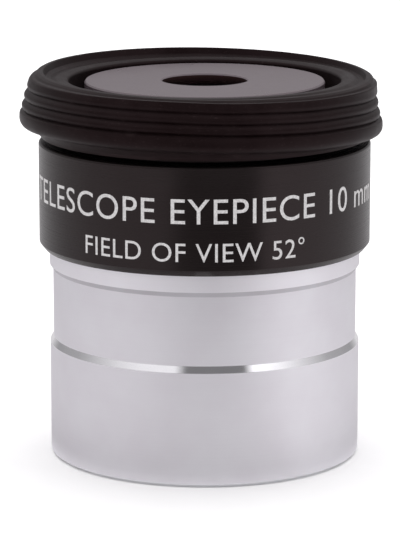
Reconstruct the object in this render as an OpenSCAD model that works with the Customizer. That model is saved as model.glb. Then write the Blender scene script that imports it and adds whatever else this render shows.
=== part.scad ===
// Telescope eyepiece with a four-lens symmetrical optic, standing on its barrel.
// Millimetres. Origin at the centre of the barrel's open end, +Z towards the eye.

/* [Barrel] */
// Diameter of the push-fit barrel
barrel_d = 31.7; // [31.2:0.05:32.2]
// Height of the shoulder that the housing screws down to
barrel_len = 21.4; // [21:0.1:24]
// Height of the full-diameter section at the open end
lower_len = 11.6; // [6:0.1:12]
// Height where the upper flange starts
flange_z = 19.7; // [16:0.1:20.5]
// Depth of the safety undercut
undercut_depth = 0.35; // [0.1:0.05:0.8]
// Bore of the barrel
barrel_bore_d = 27.1; // [26:0.1:27.4]
// Crest diameter of the internal filter thread
filter_thread_d = 27.84; // [27.6:0.01:28]
// Depth of the filter thread
filter_thread_len = 4.6; // [3:0.1:6]
// Diameter of the screwed spigot that enters the housing
spigot_d = 29.2; // [28.6:0.1:29.6]
// Length of the screwed spigot, which the housing climbs as it unscrews
spigot_len = 3.6; // [3:0.1:3.7]

/* [Housing] */
// Diameter of the body ring
ring_d = 33.74; // [33:0.02:35]
// Height of the body ring
ring_len = 10.85; // [10.5:0.05:13]
// Height of the chamfer under the body ring
ring_chamfer = 0.6; // [0.2:0.1:1]

/* [Eye end] */
// Diameter of the flat eye plate
plate_d = 24.34; // [24:0.02:25]
// Height of the eye plate above the body ring's top edge
plate_rise = 6.07; // [6:0.01:6.5]
// Diameter of the eye hole
eye_hole_d = 8.62; // [7.5:0.02:8.8]

/* [Eyecup] */
// Widest diameter of the folded skirt, at its rim
skirt_d = 36.84; // [36.6:0.02:38]
// Number of full ribs on the folded skirt above its rim
ribs = 3; // [2:1:3]
// Height of one rib
rib_pitch = 1.05; // [0.8:0.05:1.05]
// Depth of the grooves between ribs
rib_depth = 0.2; // [0.05:0.01:0.22]

/* [Optics] */
// Diameter of every lens
lens_d = 10; // [9.8:0.1:10]
// Radius of the weakly curved outer face of each doublet
outer_radius = 25; // [22:1:60]
// Radius of the cemented face of each doublet
cement_radius = 10.5; // [10.3:0.1:13]
// Radius of the inner face of each doublet
inner_radius = 12.48; // [12:0.02:16]
// Middle thickness of a crown lens
crown_t = 3.2; // [3.1:0.1:3.3]
// Middle thickness of a flint lens
flint_t = 1.2; // [1.1:0.1:1.3]
// Diameter of the field stop's opening
field_stop_d = 9.1; // [8.8:0.1:11]

/* [Hidden] */
$fn = 96;
seat_gap = 0.05;          // play between parts that seat on each other
lens_gap = 0.02;          // play between glass and its metal seats
lens_play = 0.03;         // radial play of a lens in the cell
doublet_gap = 0.4;        // air space between the two doublets, at the axis
cut = 0.5;                // overshoot of cutting solids

// Barrel
barrel_r = barrel_d / 2;
undercut_r = barrel_r - undercut_depth;
barrel_bore_r = barrel_bore_d / 2;
edge_chamfer = 0.35;
lower_bevel = 0.65;
upper_bevel = 0.5;
spigot_r = spigot_d / 2;
spigot_chamfer = 0.3;

// Heights up the housing
ring_z = barrel_len + seat_gap;
ring_top_z = ring_z + ring_len;
socket_z = barrel_len + spigot_len + 0.3;
web_z = ring_z + 5.95;
groove_z = ring_top_z + 0.45;
lip_z = groove_z + 1.35;
shoulder_z = lip_z + 0.8;
plate_z = ring_top_z + plate_rise;
plate_under_z = plate_z - 1.1;
neck_top_z = plate_under_z - 0.07;

// Radii up the housing
ring_r = ring_d / 2;
ring_edge = 0.12;
socket_r = spigot_r + seat_gap;
web_recess_r = 12.5;
neck_r = 14.6;
groove_r = 13.4;
lip_r = 14.3;
neck_tube_r = 10.85;
plate_r = plate_d / 2;

// Lens cell
cell_r = 8;
cell_flange_r = 9.2;
cell_flange_t = 1;
cell_lip_r = 4.55;
cell_thread_r = 5.5;
lens_r = lens_d / 2;

// Heights of the optics: the eye lens's outer vertex sits just under the eye hole
doublet_t = crown_t + flint_t;
eye_vertex_z = plate_under_z + 0.08;
stack_mid_z = eye_vertex_z - doublet_t - doublet_gap / 2;
field_vertex_z = 2 * stack_mid_z - eye_vertex_z;
cell_bottom_z = web_z - cell_flange_t;
stop_z = field_vertex_z - 6.78;    // focal plane below the field lens

// Eyecup: a lip (the crest), a sleeve that grips the housing, and the folded skirt
crest_z = plate_z + 0.68;
ledge_z = plate_z + 0.23;
crest_under_z = crest_z - 0.85;
crest_r = 17.15;
sleeve_r = 16.3;
cuff_r = 16.75;
ledge_r = 13.75;
skirt_r = skirt_d / 2;
skirt_top_r = skirt_r - 0.89;
skirt_top_z = crest_z - 0.47;
first_groove_z = crest_z - 0.8;
skirt_bottom_z = first_groove_z - ribs * rib_pitch;
rim_mid_z = skirt_bottom_z - 0.74;
rim_bottom_z = skirt_bottom_z - 1.95;
skirt_inner_r = 17.4;

// Drop of a spherical face of radius r at distance h from its axis
function sag(r, h) = r - sqrt(r * r - h * h);

// Points of an arc about (x, z) from angle a to angle b
function arc(x, z, r, a, b, n = 6) =
    [for (i = [0 : n]) let (t = a + (b - a) * i / n) [x + r * cos(t), z + r * sin(t)]];

// Outer radius of the skirt's straight cone at height z
function skirt_cone(z) =
    skirt_top_r + (skirt_r - skirt_top_r) * (skirt_top_z - z) / (skirt_top_z - rim_mid_z);

// One rib of the skirt from height z down: a round back between two grooves
function rib(z) =
    [for (i = [0 : 7]) let (t = i / 8, h = z - t * rib_pitch)
        [skirt_cone(h) - rib_depth * pow(2 * t - 1, 2), h]];

// Turns an outline of [radius, height] points about the optical axis
module turned(points) {
    rotate_extrude($fn = 128) polygon(points);
}

// A straight tube between two heights
module tube(outer_r, inner_r, z0, z1) {
    turned([[inner_r, z0], [outer_r, z0], [outer_r, z1], [inner_r, z1]]);
}

// Two opposite slots for a spanner, cut into a face that looks down at height z
module spanner_slots(z, reach, width, depth) {
    for (side = [-1, 1])
        translate([side * reach, 0, z + depth / 2 - cut / 2])
            cube([3, width, depth + cut], center = true);
}

// Chromed barrel: open end with filter thread, safety undercut, flange and screwed spigot
module barrel() {
    thread_r = filter_thread_d / 2;
    mouth = 0.43;
    color("silver")
    turned([
        [thread_r + mouth, 0], [barrel_r - edge_chamfer, 0], [barrel_r, edge_chamfer],
        [barrel_r, lower_len], [undercut_r, lower_len + lower_bevel],
        [undercut_r, flange_z - upper_bevel], [barrel_r, flange_z], [barrel_r, barrel_len],
        [spigot_r, barrel_len], [spigot_r, barrel_len + spigot_len - spigot_chamfer],
        [spigot_r - spigot_chamfer, barrel_len + spigot_len],
        [barrel_bore_r, barrel_len + spigot_len], [barrel_bore_r, filter_thread_len],
        [thread_r, filter_thread_len], [thread_r, mouth]
    ]);
}

// Screwed ring inside the barrel whose sharp opening lies in the focal plane
module field_stop() {
    half_t = 0.8;
    land = 0.12;
    stop_r = field_stop_d / 2;
    ring_outer = barrel_bore_r - seat_gap;
    color("dimgray")
    difference() {
        turned([
            [stop_r, stop_z - land], [stop_r + 1.4, stop_z - half_t],
            [ring_outer, stop_z - half_t], [ring_outer, stop_z + half_t],
            [stop_r + 1.4, stop_z + half_t], [stop_r, stop_z + land]
        ]);
        spanner_slots(stop_z - half_t, 11.4, 1.2, 0.7);
    }
}

// Black housing: body ring, screwed socket for the barrel, web and the grooved neck
module housing() {
    cell_bore_r = cell_r + seat_gap;
    color("black")
    turned([
        [socket_r, ring_z], [ring_r - 0.47, ring_z], [ring_r, ring_z + ring_chamfer],
        [ring_r, ring_top_z - ring_edge], [ring_r - ring_edge, ring_top_z],
        [neck_r, ring_top_z], [neck_r, groove_z], [groove_r, groove_z], [groove_r, lip_z],
        [lip_r, lip_z], [lip_r, shoulder_z], [neck_tube_r, shoulder_z],
        [neck_tube_r, neck_top_z], [cell_bore_r, neck_top_z], [cell_bore_r, web_z],
        [web_recess_r, web_z], [web_recess_r, socket_z], [socket_r, socket_z]
    ]);
}

// Flat eye plate: a cap that screws over the neck tube, with the eye hole
module eye_plate() {
    skirt_z = shoulder_z + seat_gap;
    edge = 0.15;
    hole_r = eye_hole_d / 2;
    thread_r = neck_tube_r + seat_gap;
    color("gray")
    turned([
        [thread_r, skirt_z], [plate_r, skirt_z], [plate_r, plate_z - edge],
        [plate_r - edge, plate_z], [hole_r + edge, plate_z], [hole_r, plate_z - edge],
        [hole_r, plate_under_z], [thread_r, plate_under_z]
    ]);
}

// Cell that holds the four lenses: a lip at the eye end, a screwed mouth at the field end
module lens_cell() {
    bore_r = lens_r + lens_play;
    lip_under_z = eye_vertex_z - sag(outer_radius, cell_lip_r) + lens_gap;
    mouth_z = field_vertex_z + sag(outer_radius, cell_lip_r) + 0.05;
    color("black")
    turned([
        [cell_thread_r, cell_bottom_z], [cell_flange_r, cell_bottom_z],
        [cell_flange_r, web_z - seat_gap], [cell_r, web_z - seat_gap],
        [cell_r, neck_top_z], [cell_lip_r, neck_top_z], [cell_lip_r, lip_under_z],
        [bore_r, lip_under_z], [bore_r, mouth_z], [cell_thread_r, mouth_z]
    ]);
}

// Screwed ring that holds the lens stack against the cell's lip
module cell_retaining_ring() {
    top_z = field_vertex_z + sag(outer_radius, cell_lip_r) - lens_gap;
    ring_t = 1.7;
    color("dimgray")
    difference() {
        tube(cell_thread_r - seat_gap, cell_lip_r - 0.15, top_z - ring_t, top_z);
        spanner_slots(top_z - ring_t, 5.5, 0.8, 0.6);
    }
}

// Biconvex crown lens of the eye doublet, built at its own height
module crown_at_eye() {
    cement_vertex = eye_vertex_z - flint_t;
    inner_vertex = cement_vertex - crown_t;
    intersection() {
        translate([0, 0, inner_vertex - cut]) cylinder(r = lens_r, h = crown_t + 2 * cut);
        translate([0, 0, cement_vertex - cement_radius]) sphere(r = cement_radius, $fn = 200);
        translate([0, 0, inner_vertex + inner_radius]) sphere(r = inner_radius, $fn = 200);
    }
}

// Flint lens cemented over the crown, weakly convex outside
module flint_at_eye() {
    cement_vertex = eye_vertex_z - flint_t;
    foot_z = cement_vertex - sag(cement_radius, lens_r);
    difference() {
        intersection() {
            translate([0, 0, foot_z]) cylinder(r = lens_r, h = doublet_t);
            translate([0, 0, eye_vertex_z - outer_radius]) sphere(r = outer_radius, $fn = 300);
        }
        translate([0, 0, cement_vertex - cement_radius]) sphere(r = cement_radius, $fn = 200);
    }
}

// The field doublet is the eye doublet turned over about the middle of the stack
module turned_over() {
    translate([0, 0, 2 * stack_mid_z]) mirror([0, 0, 1]) children();
}

module eye_flint() {
    color("lavender") flint_at_eye();
}

module eye_crown() {
    color("lightblue") crown_at_eye();
}

module field_crown() {
    color("lightblue") turned_over() crown_at_eye();
}

module field_flint() {
    color("lavender") turned_over() flint_at_eye();
}

// Thin ring that keeps the two crowns apart near their edges
module doublet_spacer() {
    inner_r = cell_lip_r;
    half_h = doublet_gap / 2 + sag(inner_radius, inner_r) - lens_gap;
    color("black")
    tube(lens_r - 0.02, inner_r, stack_mid_z - half_h, stack_mid_z + half_h);
}

// Fixed part of the rubber eyecup: sleeve with an inner bead, ledge and rounded crest
module eyecup_body() {
    foot_z = groove_z + seat_gap;
    crest_round = 0.42;
    ridge_round = 0.15;
    ridge_r = crest_r - 0.8;
    valley_r = crest_r - 1.6;
    ledge_round = 0.35;
    color([0.11, 0.1, 0.1])
    turned(concat(
        [[groove_r + seat_gap, foot_z], [cuff_r - 0.3, foot_z],
         [cuff_r, foot_z + 0.35], [cuff_r, foot_z + 0.8], [sleeve_r, foot_z + 1.4],
         [sleeve_r, crest_under_z - 0.3], [sleeve_r + 0.3, crest_under_z],
         [crest_r, crest_under_z]],
        arc(crest_r - crest_round, crest_z - crest_round, crest_round, 0, 90),
        arc(ridge_r, crest_z - ridge_round, ridge_round, 90, 160),
        [[valley_r + 0.4, ledge_z], [valley_r, ledge_z - 0.07], [valley_r - 0.45, ledge_z]],
        arc(ledge_r + ledge_round, ledge_z - ledge_round, ledge_round, 90, 180),
        [[ledge_r, shoulder_z + seat_gap], [lip_r + seat_gap, shoulder_z + seat_gap],
         [lip_r + seat_gap, lip_z - seat_gap], [groove_r + seat_gap, lip_z - seat_gap]]
    ));
}

// Ribbed skirt of the eyecup, folded down outside the sleeve
module eyecup_skirt() {
    shoulder = 0.3;
    color([0.12, 0.11, 0.11])
    turned(concat(
        [[skirt_inner_r, skirt_bottom_z], [sleeve_r + 0.55, crest_under_z],
         [crest_r, crest_under_z], [crest_r, crest_z - 0.3]],
        arc(skirt_top_r - shoulder, skirt_top_z, shoulder, 70, -20),
        [for (n = [0 : ribs - 1]) each rib(first_groove_z - n * rib_pitch)],
        [[skirt_cone(skirt_bottom_z) - rib_depth, skirt_bottom_z]]
    ));
}

// Thick rim bead at the skirt's free edge
module eyecup_rim() {
    under = 1.0;
    lip = 0.27;
    color([0.12, 0.11, 0.11])
    turned(concat(
        [[skirt_inner_r, skirt_bottom_z], [skirt_inner_r - 0.05, rim_bottom_z + lip]],
        arc(skirt_inner_r - 0.05 + lip, rim_bottom_z + lip, lip, 190, 270, 4),
        arc(skirt_r - under, rim_bottom_z + under, under, 280, 350, 8),
        [[skirt_r, rim_mid_z], [skirt_r - 0.06, rim_mid_z + 0.4],
         [skirt_cone(skirt_bottom_z) - rib_depth, skirt_bottom_z]]
    ));
}

barrel();
field_stop();
housing();
eye_plate();
lens_cell();
cell_retaining_ring();
eye_flint();
eye_crown();
doublet_spacer();
field_crown();
field_flint();
eyecup_body();
eyecup_skirt();
eyecup_rim();
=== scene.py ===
"""Telescope eyepiece: the looks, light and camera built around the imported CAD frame.

Lengths are metres, +Z up, the optical axis on Z and the marking towards -Y. Outlines of turned
parts are written in millimetres as (radius, height, corner rounding) and turned about the axis.
"""

import math

import bmesh
import bpy
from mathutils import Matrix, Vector, noise


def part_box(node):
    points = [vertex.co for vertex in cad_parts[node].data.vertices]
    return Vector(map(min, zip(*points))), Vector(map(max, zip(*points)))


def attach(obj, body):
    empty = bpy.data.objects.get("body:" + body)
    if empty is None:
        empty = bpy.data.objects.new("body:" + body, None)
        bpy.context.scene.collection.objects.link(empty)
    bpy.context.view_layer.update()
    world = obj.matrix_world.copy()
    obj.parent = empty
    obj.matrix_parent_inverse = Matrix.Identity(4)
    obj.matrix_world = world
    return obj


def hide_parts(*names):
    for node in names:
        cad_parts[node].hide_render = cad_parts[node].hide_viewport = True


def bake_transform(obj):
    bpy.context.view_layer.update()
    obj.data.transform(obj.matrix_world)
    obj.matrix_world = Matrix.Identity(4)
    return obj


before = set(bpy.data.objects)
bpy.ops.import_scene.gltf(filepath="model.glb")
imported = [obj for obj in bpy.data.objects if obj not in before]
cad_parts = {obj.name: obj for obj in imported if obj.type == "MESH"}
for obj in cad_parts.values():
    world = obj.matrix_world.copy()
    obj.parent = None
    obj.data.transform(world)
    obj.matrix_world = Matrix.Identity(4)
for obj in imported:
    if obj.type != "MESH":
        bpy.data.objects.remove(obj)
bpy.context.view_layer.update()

MM = 0.001
TAU = 2 * math.pi


# ---------------------------------------------------------------- camera

CAMERA_DISTANCE = 300.4 * MM
CAMERA_HEIGHT = 81.84 * MM
CAMERA_SIDE = -0.47 * MM
CAMERA_PITCH = math.radians(11.81)
LENS_LENGTH = 202.1  # the lens setting, in millimetres of focal length


def add_camera():
    data = bpy.data.cameras.new("camera")
    data.lens = LENS_LENGTH
    data.clip_start = 0.01
    data.clip_end = 20
    camera = bpy.data.objects.new("camera", data)
    camera.location = (CAMERA_SIDE, -CAMERA_DISTANCE, CAMERA_HEIGHT)
    camera.rotation_euler = (math.pi / 2 - CAMERA_PITCH, 0, 0)
    bpy.context.scene.collection.objects.link(camera)
    bpy.context.scene.camera = camera


# ---------------------------------------------------------------- sizes from the frame


def top_mm(node):
    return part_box(node)[1].z / MM


def bottom_mm(node):
    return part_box(node)[0].z / MM


def radius_mm(node):
    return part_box(node)[1].x / MM


# ---------------------------------------------------------------- turned meshes


def arc(x, z, radius, start, end, steps=8):
    """Points of an arc about (x, z), from one angle to another in degrees."""
    points = []
    for i in range(steps + 1):
        t = math.radians(start + (end - start) * i / steps)
        points.append((x + radius * math.cos(t), z + radius * math.sin(t)))
    return points


def rounded(corners, steps=4):
    """A closed outline with each (radius, height, rounding) corner turned into an arc."""
    outline = []
    count = len(corners)
    for i, (r, z, rounding) in enumerate(corners):
        if rounding <= 0:
            outline.append((r, z))
            continue
        here = Vector((r, z))
        back = (Vector(corners[i - 1][:2]) - here).normalized()
        ahead = (Vector(corners[(i + 1) % count][:2]) - here).normalized()
        half = math.acos(max(-1, min(1, back.dot(ahead)))) / 2
        middle = here + (back + ahead).normalized() * (rounding / math.sin(half))
        first = here + back * (rounding / math.tan(half)) - middle
        last = here + ahead * (rounding / math.tan(half)) - middle
        sweep = first.angle_signed(last)
        for k in range(steps + 1):
            turn = -sweep * k / steps
            x = first.x * math.cos(turn) - first.y * math.sin(turn)
            y = first.x * math.sin(turn) + first.y * math.cos(turn)
            outline.append((middle.x + x, middle.y + y))
    return outline


def lathe(name, outline, segments=256):
    """Turns a closed outline in millimetres about the Z axis. Points on the axis become poles."""
    bm = bmesh.new()
    rings = []
    for r, z in outline:
        if r < 1e-6:
            rings.append([bm.verts.new((0, 0, z * MM))] * segments)
            continue
        ring = []
        for i in range(segments):
            t = TAU * i / segments
            ring.append(bm.verts.new((r * MM * math.cos(t), r * MM * math.sin(t), z * MM)))
        rings.append(ring)
    for a in range(len(rings)):
        low, high = rings[a], rings[(a + 1) % len(rings)]
        for i in range(segments):
            j = (i + 1) % segments
            corners = []
            for vert in (low[i], low[j], high[j], high[i]):
                if vert not in corners:
                    corners.append(vert)
            if len(corners) > 2:
                bm.faces.new(corners)
    bmesh.ops.recalc_face_normals(bm, faces=bm.faces)
    mesh = bpy.data.meshes.new(name)
    bm.to_mesh(mesh)
    bm.free()
    return add_object(name, mesh)


def add_object(name, mesh):
    thing = bpy.data.objects.new(name, mesh)
    bpy.context.scene.collection.objects.link(thing)
    return thing


def smooth(thing, sharp_deg=40):
    """Smooth shading that keeps flat faces flat between their rounded edges."""
    thing.data.shade_smooth()
    thing.data.set_sharp_from_angle(angle=math.radians(sharp_deg))
    weighted = thing.modifiers.new("weighted_normals", "WEIGHTED_NORMAL")
    weighted.keep_sharp = True
    return thing


def subdivide_wall(outline, radius, step):
    """Adds points to the straight walls that stand at this radius, for a thread to be cut into."""
    dense = []
    for i, (r, z) in enumerate(outline):
        dense.append((r, z))
        next_r, next_z = outline[(i + 1) % len(outline)]
        if abs(r - radius) > 1e-4 or abs(next_r - radius) > 1e-4:
            continue
        count = int(abs(next_z - z) / step)
        for k in range(1, count):
            dense.append((radius, z + (next_z - z) * k / count))
    return dense


def cut_thread(thing, radius, low, high, pitch, depth, run_out=0.35):
    """Pushes a wall's vertices out and in along a right-handed 60 degree helix.

    depth is the height of the ridge, positive where the valley lies further from the axis.
    """
    for vert in thing.data.vertices:
        r = math.hypot(vert.co.x, vert.co.y) / MM
        z = vert.co.z / MM
        if abs(r - radius) > 1e-3 or not low < z < high:
            continue
        angle = math.atan2(vert.co.y, vert.co.x)
        phase = (z / pitch - angle / TAU) % 1
        ridge = min(1, max(0, 1.6 * abs(2 * phase - 1) - 0.3))
        fade = min(1, (z - low) / run_out, (high - z) / run_out)
        scale = (r + depth * ridge * fade) / r
        vert.co.x *= scale
        vert.co.y *= scale


# ---------------------------------------------------------------- material kit


class Nodes:
    """A short way to write a material's node tree."""

    def __init__(self, name, settings):
        self.material = bpy.data.materials.new(name)
        self.material.use_nodes = True
        self.tree = self.material.node_tree
        self.shader = self.tree.nodes["Principled BSDF"]
        for socket, value in settings.items():
            self.shader.inputs[socket].default_value = value

    def add(self, kind, settings=(), **links):
        node = self.tree.nodes.new("ShaderNode" + kind)
        for attribute, value in dict(settings).items():
            setattr(node, attribute, value)
        for socket, source in links.items():
            self.link(source, node.inputs[int(socket[1:])])
        return node

    def link(self, source, socket):
        if isinstance(source, (int, float, tuple)):
            socket.default_value = source
        elif isinstance(source, bpy.types.Node):
            self.tree.links.new(source.outputs[0], socket)
        else:
            self.tree.links.new(source, socket)

    def math(self, operation, a, b=0.0, clamp=False):
        return self.add("Math", {"operation": operation, "use_clamp": clamp}, i0=a, i1=b)

    def position(self):
        return self.add("TexCoord").outputs["Object"]

    def noise(self, vector, scale, detail=3.0, roughness=0.5, w=None):
        node = self.add("TexNoise")
        if w is not None:
            node.noise_dimensions = "4D"
            self.link(w, node.inputs["W"])
        self.link(vector, node.inputs["Vector"])
        node.inputs["Scale"].default_value = scale
        node.inputs["Detail"].default_value = detail
        node.inputs["Roughness"].default_value = roughness
        return node.outputs["Fac"]

    def spread(self, value, low, high, out_low, out_high):
        """Maps low..high of a value to out_low..out_high, held at the ends."""
        node = self.add("MapRange")
        self.link(value, node.inputs["Value"])
        node.inputs["From Min"].default_value = low
        node.inputs["From Max"].default_value = high
        node.inputs["To Min"].default_value = out_low
        node.inputs["To Max"].default_value = out_high
        return node.outputs["Result"]

    def tint(self, factor, dark, light):
        """A colour between two, by factor."""
        node = self.add("Mix", {"data_type": "RGBA"})
        self.link(factor, node.inputs["Factor"])
        node.inputs["A"].default_value = (*dark, 1)
        node.inputs["B"].default_value = (*light, 1)
        self.tree.links.new(node.outputs["Result"], self.shader.inputs["Base Color"])

    def edges(self, low, high, strength):
        """Where the surface turns over an edge, from 0 to the strength."""
        sharpness = self.add("NewGeometry").outputs["Pointiness"]
        return self.spread(sharpness, low, high, 0.0, strength)

    def turned(self, fine, around):
        """A noise drawn out into rings about the axis, as a lathe tool leaves them."""
        split = self.add("SeparateXYZ", i0=self.position())
        flat = self.add("CombineXYZ", i0=split.outputs["X"], i1=split.outputs["Y"])
        length = self.add("VectorMath", {"operation": "LENGTH"}, i0=flat)
        ring = self.add(
            "CombineXYZ",
            i0=self.math("MULTIPLY", length.outputs["Value"], fine),
            i1=self.math("MULTIPLY", split.outputs["Z"], fine),
            i2=self.math("MULTIPLY", split.outputs["X"], around),
        )
        return self.noise(ring, 1, 4, 0.6, w=self.math("MULTIPLY", split.outputs["Y"], around))

    def bump(self, *layers):
        """Each layer is (height, distance in metres, strength)."""
        normal = None
        for height, distance, strength in layers:
            node = self.add("Bump")
            self.link(height, node.inputs["Height"])
            node.inputs["Distance"].default_value = distance
            node.inputs["Strength"].default_value = strength
            if normal is not None:
                self.tree.links.new(normal, node.inputs["Normal"])
            normal = node.outputs["Normal"]
        self.tree.links.new(normal, self.shader.inputs["Normal"])

    def rough(self, value):
        self.link(value, self.shader.inputs["Roughness"])


def satin(name, dark, light):
    """Soft satin chrome over fine circumferential turning."""
    kit = Nodes(name, {"Metallic": 1.0})
    lines = kit.turned(14000, 25)
    clouds = kit.noise(kit.position(), 220, 4)
    kit.tint(kit.spread(clouds, 0.3, 0.7, 0, 1), dark, light)
    kit.rough(kit.spread(lines, 0.3, 0.7, 0.56, 0.62))
    kit.bump((lines, 1e-6, 0.2))
    return kit.material


def satin_chrome():
    """The barrel's main finish."""
    return satin("satin_chrome", (0.79, 0.77, 0.81), (0.82, 0.81, 0.845))


def painted_light_flange_chrome():
    """The flange in a brighter copy of the satin chrome: painted light that makes up for the shade
    under the ring.
    """
    return satin("painted_light_flange_chrome", (0.87, 0.85, 0.89), (0.90, 0.89, 0.925))


def painted_shade_bevel_chrome():
    """The undercut's upper bevel in a darkened copy of the satin chrome: painted shade for the dark
    surroundings it reflects facing down.
    """
    return satin("painted_shade_bevel_chrome", (0.54, 0.525, 0.55), (0.58, 0.57, 0.60))


def polished_chrome():
    """The lower bevel of the undercut and the small edge breaks, cut bright after turning."""
    kit = Nodes("polished_chrome", {"Metallic": 1.0})
    lines = kit.turned(5000, 80)
    smears = kit.noise(kit.position(), 600, 3)
    kit.tint(smears, (0.86, 0.86, 0.89), (0.93, 0.93, 0.95))
    kit.rough(kit.spread(lines, 0.3, 0.7, 0.06, 0.12))
    kit.bump((lines, 1e-6, 0.3))
    return kit.material


def thread_metal():
    """Chromed thread, darker than the barrel, with an uneven tone."""
    kit = Nodes("thread_metal", {"Metallic": 1.0})
    stain = kit.noise(kit.position(), 900, 4)
    kit.tint(stain, (0.42, 0.42, 0.44), (0.66, 0.65, 0.68))
    kit.rough(kit.spread(stain, 0.3, 0.7, 0.26, 0.4))
    kit.bump((kit.turned(6000, 90), 2e-6, 0.3))
    return kit.material


def black_anodised():
    """Satin black anodised aluminium with faint turning."""
    kit = Nodes("black_anodised", {
        "Specular IOR Level": 0.32, "Specular Tint": (1, 0.8, 0.82, 1),
    })
    lines = kit.turned(8000, 50)
    clouds = kit.noise(kit.position(), 300, 5)
    worn = kit.math("ADD", kit.math("MULTIPLY", clouds, 0.1), kit.edges(0.53, 0.7, 0.7), clamp=True)
    kit.tint(worn, (0.0030, 0.0020, 0.0018), (0.030, 0.029, 0.029))
    kit.rough(kit.spread(lines, 0.3, 0.7, 0.22, 0.30))
    grain = kit.noise(kit.position(), 14000, 2)
    kit.bump((lines, 1.5e-6, 0.3), (grain, 1e-6, 0.15))
    return kit.material


def grey_plate():
    """Bead-blasted and anodised dark grey, with the tool's rings just showing through."""
    kit = Nodes("grey_plate", {"IOR": 1.5})
    lines = kit.turned(5000, 40)
    clouds = kit.noise(kit.position(), 260, 5)
    kit.tint(clouds, (0.096, 0.074, 0.084), (0.110, 0.087, 0.098))
    kit.rough(kit.spread(clouds, 0.3, 0.7, 0.27, 0.33))
    grain = kit.noise(kit.position(), 9000, 3)
    kit.bump((lines, 2e-6, 0.2), (grain, 3e-6, 0.25))
    return kit.material


def inner_black():
    """Matte black of the parts inside, ringed by the lathe."""
    kit = Nodes("inner_black", {"Specular IOR Level": 0.22})
    lines = kit.turned(4000, 60)
    kit.tint(lines, (0.005, 0.0032, 0.0030), (0.013, 0.010, 0.010))
    kit.rough(kit.spread(lines, 0.3, 0.7, 0.5, 0.66))
    kit.bump((lines, 6e-6, 0.5))
    return kit.material


def hole_wall_painted_shading():
    """Brown-black of the eye hole's wall, paler towards the top edge: painted light near the rim
    and painted shade deeper in the hole.
    """
    kit = Nodes("hole_wall_painted_shading", {"Specular IOR Level": 0.25, "Specular Tint": (1, 0.62, 0.58, 1)})
    height = kit.add("SeparateXYZ", i0=kit.position()).outputs["Z"]
    top = top_mm("eye_plate")
    # Painted shade deep in the hole, fading to painted light near the top edge.
    fade = kit.spread(height, (top - 0.8) * MM, (top - 0.2) * MM, 0.0, 1.0)
    wear = kit.noise(kit.position(), 2600, 3)
    kit.tint(fade, (0.0016, 0.0008, 0.0008), (0.020, 0.0085, 0.0080))
    kit.rough(kit.spread(wear, 0.3, 0.7, 0.42, 0.55))
    kit.bump((wear, 4e-6, 0.4))
    return kit.material


def eyecup_rubber():
    """Matte moulded rubber: fine pores, a little bloom, a few dust specks, and convex edges
    lightened, partly edge wear and partly painted highlight on the ridges.
    """
    kit = Nodes("eyecup_rubber", {
        "Specular IOR Level": 0.12, "Specular Tint": (1, 0.7, 0.74, 1),
        "Sheen Weight": 0.02, "Sheen Roughness": 0.45, "Sheen Tint": (1, 0.84, 0.86, 1),
    })
    pores = kit.noise(kit.position(), 7000, 4, 0.6)
    bloom = kit.noise(kit.position(), 420, 5, 0.6)
    dust = kit.spread(kit.noise(kit.position(), 5200, 1, 0.3), 0.70, 0.75, 0, 1)
    bloomed = kit.spread(bloom, 0.35, 0.75, 0.0, 0.3)
    # Lighter convex edges: partly edge wear, partly a painted highlight along the crest and ribs.
    worn = kit.math("ADD", bloomed, kit.edges(0.51, 0.62, 0.4))
    bloom_dust_wear_and_highlight = kit.math("ADD", worn, dust, clamp=True)
    kit.tint(bloom_dust_wear_and_highlight, (0.0042, 0.0016, 0.0017), (0.0150, 0.0096, 0.0100))
    kit.rough(kit.spread(bloom, 0.3, 0.7, 0.36, 0.46))
    kit.bump((bloom, 3e-5, 0.25), (pores, 1.2e-5, 0.45))
    return kit.material


def marking_paint():
    """Pale paint in the engraving, slightly uneven."""
    kit = Nodes("marking_paint", {})
    speckle = kit.noise(kit.position(), 5000, 3)
    kit.tint(kit.spread(speckle, 0.35, 0.65, 0, 1), (0.44, 0.43, 0.43), (0.58, 0.57, 0.57))
    kit.rough(kit.spread(speckle, 0.3, 0.7, 0.45, 0.6))
    kit.bump((speckle, 3e-6, 0.3))
    return kit.material


def coated_glass():
    """Lens glass whose coating leaves only a weak violet reflection."""
    kit = Nodes("coated_glass", {
        "Base Color": (0.98, 0.93, 0.99, 1), "Transmission Weight": 1.0, "IOR": 1.52,
        "Specular IOR Level": 0.3, "Specular Tint": (0.6, 0.3, 1.0, 1),
    })
    film = kit.noise(kit.position(), 900, 3)
    kit.rough(kit.spread(film, 0.45, 0.8, 0.0, 0.03))
    return kit.material


def lens_edge():
    """Ground lens edge, blackened against stray light."""
    kit = Nodes("lens_edge", {})
    grind = kit.noise(kit.position(), 9000, 3)
    kit.tint(grind, (0.006, 0.006, 0.006), (0.014, 0.014, 0.014))
    kit.rough(kit.spread(grind, 0.3, 0.7, 0.7, 0.9))
    kit.bump((grind, 4e-6, 0.4))
    return kit.material


def studio_floor():
    """Pale seamless floor with a trace of paper grain."""
    kit = Nodes("studio_floor", {"Specular IOR Level": 0.0})
    grain = kit.noise(kit.position(), 300, 4)
    kit.tint(grain, (0.86, 0.86, 0.86), (0.88, 0.88, 0.88))
    kit.rough(kit.spread(grain, 0.3, 0.7, 0.7, 0.85))
    return kit.material


MATERIALS = {
    make.__name__: make()
    for make in (
        satin_chrome, painted_light_flange_chrome, painted_shade_bevel_chrome, polished_chrome, thread_metal,
        black_anodised, grey_plate, hole_wall_painted_shading, inner_black, eyecup_rubber, marking_paint,
        coated_glass, lens_edge, studio_floor,
    )
}


def paint(thing, *names):
    """Gives a piece its materials, the first one everywhere."""
    thing.data.materials.clear()
    for name in names:
        thing.data.materials.append(MATERIALS[name])
    return thing


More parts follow.
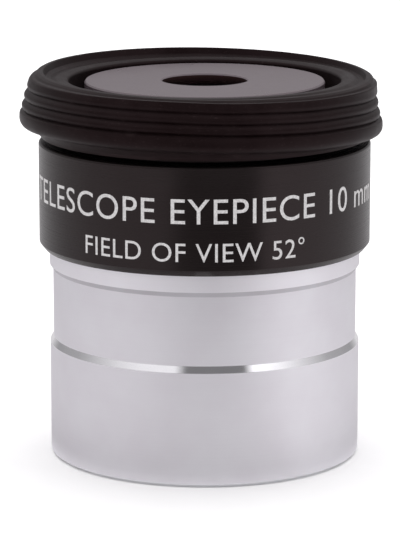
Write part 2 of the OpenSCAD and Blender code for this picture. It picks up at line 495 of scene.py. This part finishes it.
def paint_where(thing, slot, test):
    """Uses a further material on the faces whose middle (radius, height) in mm passes the test."""
    for face in thing.data.polygons:
        middle = face.center
        if test(math.hypot(middle.x, middle.y) / MM, middle.z / MM):
            face.material_index = slot


# ---------------------------------------------------------------- barrel

UNDERCUT_DEPTH = 0.35
LOWER_LEN = 11.6
LOWER_BEVEL = 0.65
FLANGE_Z = 19.7
UPPER_BEVEL = 0.5
SHOULDER_Z = 21.4
SPIGOT_R = 14.6
BORE_R = 13.55
FILTER_R = 13.92
FILTER_LEN = 4.6
MOUTH = 0.43
FILTER_PITCH = 0.6
SPIGOT_PITCH = 0.75


def make_barrel():
    outer = radius_mm("barrel")
    neck = outer - UNDERCUT_DEPTH
    top = top_mm("barrel")
    outline = rounded([
        (FILTER_R + MOUTH, 0, 0.06), (outer - 0.35, 0, 0.07), (outer, 0.35, 0.1),
        (outer, LOWER_LEN, 0.09), (neck, LOWER_LEN + LOWER_BEVEL, 0.07),
        (neck, FLANGE_Z - UPPER_BEVEL, 0.06), (outer, FLANGE_Z, 0.06),
        (outer, SHOULDER_Z, 0.07), (SPIGOT_R, SHOULDER_Z, 0.08),
        (SPIGOT_R, top - 0.3, 0.05), (SPIGOT_R - 0.3, top, 0.05), (BORE_R, top, 0.06),
        (BORE_R, FILTER_LEN, 0.06), (FILTER_R, FILTER_LEN, 0.04), (FILTER_R, MOUTH, 0.05),
    ])
    outline = subdivide_wall(outline, FILTER_R, FILTER_PITCH / 10)
    outline = subdivide_wall(outline, SPIGOT_R, SPIGOT_PITCH / 10)
    barrel = lathe("barrel_shell", outline, 288)
    cut_thread(barrel, FILTER_R, MOUTH - 0.1, FILTER_LEN - 0.15, FILTER_PITCH, 0.3)
    cut_thread(barrel, SPIGOT_R, SHOULDER_Z + 0.3, top - 0.2, SPIGOT_PITCH, -0.36)
    paint(
        barrel, "satin_chrome", "polished_chrome", "thread_metal", "inner_black",
        "painted_light_flange_chrome", "painted_shade_bevel_chrome",
    )

    def polished(r, z):
        lower = LOWER_LEN - 0.02 < z < LOWER_LEN + LOWER_BEVEL + 0.02
        return r > neck - 0.05 and (lower or z < 0.33)

    def upper_bevel(r, z):
        return r > neck - 0.05 and FLANGE_Z - UPPER_BEVEL < z < FLANGE_Z

    # The flange gets the brighter chrome copy, which is painted light.
    paint_where(barrel, 4, lambda r, z: r > neck and z > FLANGE_Z)
    # The upper bevel gets the darkened chrome copy, which is painted shade.
    paint_where(barrel, 5, upper_bevel)
    paint_where(barrel, 1, polished)
    paint_where(barrel, 2, lambda r, z: r < FILTER_R + 0.4 and z < FILTER_LEN and r > BORE_R)
    paint_where(barrel, 2, lambda r, z: r < SPIGOT_R + 0.01 and z > SHOULDER_Z and r > BORE_R + 0.1)
    paint_where(barrel, 3, lambda r, z: r < BORE_R + 0.01)
    smooth(barrel, 35)
    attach(barrel, "barrel")
    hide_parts("barrel")


# ---------------------------------------------------------------- housing and its marking

RING_LEN = 10.85
RING_CHAMFER = 0.6
CHAMFER_WIDTH = 0.47
NECK_R = 14.6
GROOVE_R = 13.4
LIP_R = 14.3
NECK_TUBE_R = 10.85
CELL_BORE_R = 8.05
RECESS_R = 12.5


def make_housing():
    ring = radius_mm("housing")
    low = bottom_mm("housing")
    ring_top = low + RING_LEN
    groove = ring_top + 0.45
    lip = groove + 1.35
    shoulder = lip + 0.8
    top = top_mm("housing")
    socket_top = top_mm("barrel") + 0.3
    web = low + 5.95
    socket = SPIGOT_R + 0.05
    outline = rounded([
        (socket, low, 0.05), (ring - CHAMFER_WIDTH, low, 0.06), (ring, low + RING_CHAMFER, 0.12),
        (ring, ring_top, 0.3), (NECK_R, ring_top, 0.1), (NECK_R, groove, 0.05),
        (GROOVE_R, groove, 0.08), (GROOVE_R, lip, 0.08), (LIP_R, lip, 0.08),
        (LIP_R, shoulder, 0.1), (NECK_TUBE_R, shoulder, 0.08), (NECK_TUBE_R, top, 0.08),
        (CELL_BORE_R, top, 0.06), (CELL_BORE_R, web, 0.06), (RECESS_R, web, 0.1),
        (RECESS_R, socket_top, 0.06), (socket, socket_top, 0.08),
    ])
    outline = subdivide_wall(outline, socket, SPIGOT_PITCH / 8)
    housing = lathe("housing_shell", outline, 288)
    cut_thread(housing, socket, low + 0.2, socket_top - 0.3, SPIGOT_PITCH, 0.3)
    paint(housing, "black_anodised")
    smooth(housing, 35)
    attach(housing, "housing")
    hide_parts("housing")


# Plain words and numbers in a plain face. Each row is (text, cap height, baseline above the
# ring's foot, letter spacing, shift of the middle round the ring), in millimetres.
MARKING = (
    ("TELESCOPE EYEPIECE 10 mm", 2.6, 5.25, 1.07, -0.2),
    ("FIELD OF VIEW 52°", 1.95, 1.5, 1.06, -1.3),
)
CAP_SHARE = 0.73  # the share of the type size that a capital takes up
INK_HEIGHT = 0.012
INK_STEP = 0.25


def wrap_text(name, text, cap_height, baseline, spacing, middle):
    """Text as a thin solid that lies on the body ring, centred on the -Y side."""
    curve = bpy.data.curves.new(name, "FONT")
    curve.body = text
    curve.align_x = "CENTER"
    curve.size = cap_height / CAP_SHARE
    curve.space_character = spacing
    curve.resolution_u = 6
    curve.extrude = 0.5
    flat = add_object(name + "_flat", curve)
    bpy.context.view_layer.update()
    mesh = bpy.data.meshes.new_from_object(flat)
    bpy.data.objects.remove(flat)
    bm = bmesh.new()
    bm.from_mesh(mesh)
    bmesh.ops.remove_doubles(bm, verts=bm.verts, dist=1e-5)
    reach = max(abs(v.co.x) for v in bm.verts)
    steps = int(reach / INK_STEP)
    for k in range(-steps, steps + 1):
        everything = bm.verts[:] + bm.edges[:] + bm.faces[:]
        bmesh.ops.bisect_plane(
            bm, geom=everything, plane_co=(k * INK_STEP, 0, 0), plane_no=(1, 0, 0)
        )
    ring = radius_mm("housing")
    foot = bottom_mm("housing")
    for vert in bm.verts:
        angle = (vert.co.x + middle) / ring - math.pi / 2
        r = ring + (INK_HEIGHT if vert.co.z > 0 else -INK_HEIGHT)
        height = foot + baseline + vert.co.y
        vert.co = Vector((r * math.cos(angle), r * math.sin(angle), height)) * MM
    bm.to_mesh(mesh)
    bm.free()
    marking = add_object(name, mesh)
    paint(marking, "marking_paint")
    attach(marking, "housing")


def make_marking():
    for i, row in enumerate(MARKING):
        wrap_text(f"marking_{i + 1}", *row)


# ---------------------------------------------------------------- eye plate

EYE_HOLE_R = 4.31
PLATE_THICKNESS = 1.1


def make_eye_plate():
    outer = radius_mm("eye_plate")
    top = top_mm("eye_plate")
    foot = bottom_mm("eye_plate")
    under = top - PLATE_THICKNESS
    thread = NECK_TUBE_R + 0.05
    outline = rounded([
        (thread, foot, 0.05), (outer, foot, 0.08), (outer, top - 0.16, 0.05),
        (outer - 0.13, top, 0.05), (EYE_HOLE_R + 0.13, top, 0.06),
        (EYE_HOLE_R, top - 0.14, 0.06), (EYE_HOLE_R, under, 0.08), (thread, under, 0.08),
    ])
    plate = lathe("eye_plate_cap", outline, 256)
    paint(plate, "grey_plate", "hole_wall_painted_shading")
    # The eye hole's wall gets the painted light and shade.
    paint_where(plate, 1, lambda r, z: r < EYE_HOLE_R + 0.02 and z < top - 0.16)
    smooth(plate, 35)
    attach(plate, "housing")
    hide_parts("eye_plate")


# ---------------------------------------------------------------- lenses

OUTER_CURVE = 25.0
CEMENT_CURVE = 10.5
INNER_CURVE = 12.48
FLINT_T = 1.2
CEMENT_GAP = 0.002


def cap_line(vertex, curve, reach, steps=24):
    """Points of a lens face from the axis out. A positive curve bulges up, a negative one down."""
    side = math.copysign(1, curve)
    line = []
    for i in range(steps + 1):
        r = reach * i / steps
        drop = abs(curve) - math.sqrt(curve * curve - r * r)
        line.append((r, vertex - side * drop))
    return line


def make_lens(node, upper, lower):
    """A lens between two faces, each given as (height at the axis, signed curve)."""
    reach = radius_mm(node)
    outline = cap_line(*upper, reach) + cap_line(*lower, reach)[::-1]
    lens = lathe(node + "_glass", outline, 128)
    paint(lens, "coated_glass", "lens_edge")
    middle = reach - 0.01
    paint_where(lens, 1, lambda r, z: r > middle)
    smooth(lens, 35)
    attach(lens, "lens_stack")
    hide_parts(node)


def make_lenses():
    eye = top_mm("eye_flint")
    field = bottom_mm("field_flint")
    eye_cement = eye - FLINT_T
    field_cement = field + FLINT_T
    eye_inner = bottom_mm("eye_crown")
    field_inner = top_mm("field_crown")
    gap = CEMENT_GAP
    make_lens("eye_flint", (eye, OUTER_CURVE), (eye_cement + gap, CEMENT_CURVE))
    make_lens("eye_crown", (eye_cement - gap, CEMENT_CURVE), (eye_inner, -INNER_CURVE))
    make_lens("field_crown", (field_inner, INNER_CURVE), (field_cement + gap, -CEMENT_CURVE))
    make_lens("field_flint", (field_cement - gap, -CEMENT_CURVE), (field, -OUTER_CURVE))


# ---------------------------------------------------------------- rubber eyecup

RIBS = 3
RIB_PITCH = 1.05
RIB_DEPTH = 0.28
CONE_WIDENING = 0.89
CONE_TOP_DROP = 0.47  # from the crest down to where the cone would end
RIM_DROP = 0.74  # from the last groove down to the widest point
SLEEVE_R = 16.3
CUFF_R = 16.75
FLARE_R = 17.28
LEDGE_R = 13.75
CREST_TILT = (-0.3, 0.36)  # lift at the widest radius on +X and +Y
SKIRT_TILT = (-0.42, -0.45)
SLIP = -0.36  # how far the skirt hangs off centre, along X


def skirt_cone(z):
    """Radius of the skirt's plain cone at a height."""
    crest, first_groove, _ = eyecup_heights()
    widest = radius_mm("eyecup_rim")
    middle = first_groove - RIBS * RIB_PITCH - RIM_DROP
    return widest - CONE_WIDENING * (z - middle) / (crest - CONE_TOP_DROP - middle)


def eyecup_heights():
    """Heights of the crest, the skirt's first groove and the rim's foot."""
    crest = top_mm("eyecup_body")
    return crest, crest - 0.8, bottom_mm("eyecup_rim")


def ease(value):
    """0 to 1 with a soft start and end."""
    held = min(1, max(0, value))
    return held * held * (3 - 2 * held)


def settle(thing):
    """Sets the folded rubber a little crooked, as a hand leaves it.

    outside runs from the ledge out to the crest, below from the crest down the skirt.
    """
    crest, _, low = eyecup_heights()
    widest = radius_mm("eyecup_rim")
    for vert in thing.data.vertices:
        x, y, z = (value / MM for value in vert.co)
        outside = ease((math.hypot(x, y) - 15.2) / 1.3)
        below = ease((crest - 0.05 - z) / 0.9) * ease((math.hypot(x, y) - 16.6) / 0.5)
        crest_lift = (CREST_TILT[0] * x + CREST_TILT[1] * y) / widest * ease((z - low - 1) / 3)
        skirt_lift = (SKIRT_TILT[0] * x + SKIRT_TILT[1] * y) / widest
        ripple = noise.noise(Vector((x, y, z)) * 0.16) * 0.08
        lift = crest_lift + (skirt_lift + ripple - crest_lift) * below
        vert.co.z += lift * outside * MM
        vert.co.x += SLIP * below * ease((crest + 1 - z) / 4) * MM


def make_eyecup_body():
    crest, first_groove, low = eyecup_heights()
    foot = bottom_mm("eyecup_body")
    grip = GROOVE_R + 0.05
    ledge = top_mm("eye_plate") + 0.23
    shoulder = bottom_mm("eye_plate")
    lip = shoulder - 0.9
    outline = rounded([
        (grip, foot, 0.1), (CUFF_R - 0.14, foot, 0.08), (CUFF_R, foot + 0.2, 0.1),
        (FLARE_R, low + 0.14, 0.1), (SLEEVE_R, low + 0.9, 0.4), (SLEEVE_R, crest - 1.15, 0.2),
        (SLEEVE_R + 0.4, crest - 0.84, 0.1), (skirt_cone(first_groove), first_groove, 0.005),
        (17.5, crest - 0.52, 0.12), (17.2, crest - 0.42, 0.12), (17.05, crest - 0.12, 0.25),
        (16.75, crest + 0.04, 0.22), (16.35, crest + 0.08, 0.1), (16.1, crest - 0.48, 0.1),
        (15.6, crest - 0.58, 0.12), (15.1, crest - 0.4, 0.4), (14.5, crest - 0.38, 0.4),
        (LEDGE_R + 0.05, crest - 0.6, 0.35), (LEDGE_R, shoulder + 0.03, 0.15),
        (LIP_R + 0.05, shoulder + 0.03, 0.05), (LIP_R + 0.05, lip, 0.05), (grip, lip, 0.08),
    ], 6)
    body = lathe("eyecup_crest", outline, 288)
    settle(body)
    paint(body, "eyecup_rubber")
    smooth(body, 50)
    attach(body, "eyecup")
    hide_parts("eyecup_body")


def make_eyecup_skirt():
    _, first_groove, low = eyecup_heights()
    widest = radius_mm("eyecup_rim")
    rim_top = first_groove - RIBS * RIB_PITCH
    rim_mid = rim_top - RIM_DROP
    outer = [(17.2, first_groove + 0.1), (skirt_cone(first_groove), first_groove)]
    steps = 16
    for n in range(RIBS):
        for i in range(1, steps + 1):
            t = i / steps
            z = first_groove - (n + t) * RIB_PITCH
            groove = RIB_DEPTH * (2 * t - 1) ** 2 if n or t > 0.5 else 0
            outer.append((skirt_cone(z) - groove, z))
    bead = [
        (widest - 0.07, rim_top - 0.2), (widest - 0.01, rim_top - 0.45), (widest, rim_mid),
    ]
    bead += arc(widest - 0.95, low + 1.1, 0.95, -8, -78, 10)
    bead += arc(17.62, low + 0.4, 0.27, -95, -178, 5)
    inner = [(17.38, low + 0.9), (17.4, rim_top), (17.1, rim_top + 1.6), (16.88, first_groove)]
    skirt = lathe("eyecup_skirt_fold", outer + bead + inner, 288)
    settle(skirt)
    paint(skirt, "eyecup_rubber")
    smooth(skirt, 28)
    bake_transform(skirt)
    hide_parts("eyecup_skirt", "eyecup_rim")


# ---------------------------------------------------------------- parts kept from the frame


def finish_inner_parts():
    for node in ("field_stop", "lens_cell", "cell_retaining_ring", "doublet_spacer"):
        paint(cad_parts[node], "inner_black")


# ---------------------------------------------------------------- studio


FLOOR_HALF_WIDTH = 3.0


def add_floor():
    bm = bmesh.new()
    bmesh.ops.create_grid(bm, x_segments=8, y_segments=8, size=FLOOR_HALF_WIDTH)
    mesh = bpy.data.meshes.new("floor")
    bm.to_mesh(mesh)
    bm.free()
    floor = add_object("floor", mesh)
    paint(floor, "studio_floor")


# (azimuth in degrees, brightness): a dark flag in front, a bright bank at the right, a dimmer back
TENT = (
    (-180, 0.68), (-110, 0.78), (-70, 0.92), (-24, 0.92), (-15, 0.2), (32, 0.2), (40, 1.3),
    (60, 1.15), (105, 0.82), (180, 0.68),
)
PLAIN_LEVEL = 0.9
# (radius in metres, height, share of the brightness, whether the flags reach it), floor to top
# The innermost floor ring glows at half share: a painted contact shadow round the base, seen only
# in reflections.
TENT_PROFILE = (
    (0.0175, 0.0003, 0.5, False), (0.027, 0.0003, 1.0, False), (0.05, 0.0003, 1.05, False),
    (0.066, 0.0003, 1.0, True), (0.24, 0.0003, 1.0, True), (0.34, 0.0003, 0.9, False),
    (0.34, 0.04, 0.45, False), (0.34, 0.12, 0.5, False), (0.34, 0.24, 1.0, True),
    (0.34, 0.41, 1.0, True), (0.26, 0.46, 0.9, False), (0.14, 0.5, 0.3, False),
    (0.001, 0.5, 0.25, False),
)


def tent_level(azimuth):
    """Brightness of the tent at an azimuth in degrees from -Y, turning towards +X."""
    for (start, low), (end, high) in zip(TENT, TENT[1:]):
        if start <= azimuth <= end:
            return low + (high - low) * (azimuth - start) / (end - start)
    return TENT[0][1]


def add_tent():
    """The ring of softboxes and flags round the object. Only reflections see it."""
    bm = bmesh.new()
    level = bm.verts.layers.float_color.new("level")
    steps = 180
    rings = []
    for radius, height, share, flagged in TENT_PROFILE:
        ring = []
        for i in range(steps):
            azimuth = 360 * i / steps - 180
            t = math.radians(azimuth)
            vert = bm.verts.new((radius * math.sin(t), -radius * math.cos(t), height))
            bright = share * tent_level(azimuth)
            if not flagged and bright < 0.5 * share:
                bright = share * PLAIN_LEVEL
            vert[level] = (bright, bright * 0.98, bright, 1)
            ring.append(vert)
        rings.append(ring)
    for inner, outer in zip(rings, rings[1:]):
        for i in range(steps):
            k = (i + 1) % steps
            bm.faces.new((inner[i], outer[i], outer[k], inner[k]))
    mesh = bpy.data.meshes.new("tent")
    bm.to_mesh(mesh)
    bm.free()
    material = bpy.data.materials.new("tent_light")
    material.use_nodes = True
    tree = material.node_tree
    tree.nodes.clear()
    stored = tree.nodes.new("ShaderNodeAttribute")
    stored.attribute_name = "level"
    emission = tree.nodes.new("ShaderNodeEmission")
    output = tree.nodes.new("ShaderNodeOutputMaterial")
    tree.links.new(stored.outputs["Color"], emission.inputs["Color"])
    tree.links.new(emission.outputs[0], output.inputs["Surface"])
    mesh.materials.append(material)
    tent = add_object("tent", mesh)
    tent.visible_camera = False
    tent.visible_diffuse = False
    tent.visible_shadow = False
    tent.visible_transmission = False


def add_light(name, location, size, power):
    """A rectangular light that points at the object."""
    data = bpy.data.lights.new(name, "AREA")
    data.shape = "RECTANGLE"
    data.size, data.size_y = size
    data.energy = power
    light = bpy.data.objects.new(name, data)
    light.location = location
    aim = Vector((0, 0, 0.02)) - Vector(location)
    light.rotation_euler = aim.to_track_quat("-Z", "Y").to_euler()
    bpy.context.scene.collection.objects.link(light)


def add_studio():
    world = bpy.data.worlds.new("studio")
    world.use_nodes = True
    background = world.node_tree.nodes["Background"]
    background.inputs["Color"].default_value = (1.0, 0.985, 1.0, 1)
    background.inputs["Strength"].default_value = 1.0
    bpy.context.scene.world = world
    bpy.context.scene.view_settings.view_transform = "Standard"
    add_floor()
    add_tent()
    add_light("overhead", (0.0, 0.15, 0.8), (0.9, 0.9), 5)


add_camera()
make_barrel()
make_housing()
make_marking()
make_eye_plate()
make_lenses()
make_eyecup_body()
make_eyecup_skirt()
finish_inner_parts()
add_studio()
